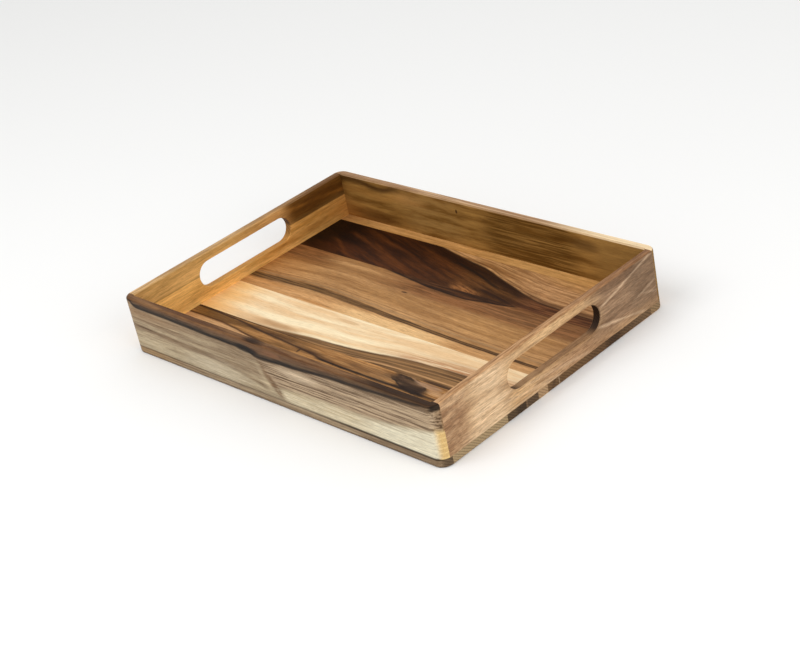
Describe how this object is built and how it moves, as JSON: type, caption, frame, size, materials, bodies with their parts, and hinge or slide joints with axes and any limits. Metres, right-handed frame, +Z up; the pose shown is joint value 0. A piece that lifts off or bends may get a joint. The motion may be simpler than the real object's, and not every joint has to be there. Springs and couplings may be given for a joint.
{
  "type": "serving tray",
  "caption": "Rectangular wooden serving tray with straight upright walls on a flat edge-glued base, rounded corners and a long rounded hand slot through each short end.",
  "frame": {"origin": "centre of the footprint, on the underside of the base", "axes": "+X along the long side towards the right end wall, +Y from the front long wall to the back long wall, +Z up"},
  "size_m": [0.4, 0.285, 0.058],
  "materials": {
    "dark_edge_stave": "sanded walnut with a satin oil finish",
    "tan_stave": "sanded walnut with a satin oil finish",
    "cream_stave": "sanded walnut with a satin oil finish",
    "brown_stave": "sanded walnut with a satin oil finish",
    "chocolate_stave": "sanded walnut with a satin oil finish",
    "golden_stave": "sanded walnut with a satin oil finish",
    "grey_tan_walnut": "sanded walnut with a satin oil finish",
    "olive_walnut": "sanded walnut with a satin oil finish",
    "golden_walnut": "sanded walnut with a satin oil finish",
    "rosy_walnut": "sanded walnut with a satin oil finish",
    "beech": "plain, hidden in the joints"
  },
  "bodies": {
    "root": {"base_stave_1": "dark_edge_stave", "base_stave_2": "tan_stave", "base_stave_3": "cream_stave", "base_stave_4": "brown_stave", "base_stave_5": "chocolate_stave", "base_stave_6": "golden_stave", "front_wall": "grey_tan_walnut", "back_wall": "olive_walnut", "left_end_wall": "golden_walnut", "right_end_wall": "rosy_walnut", "corner_dowels": "beech", "base_dowels": "beech"}
  },
  "joints": []
}
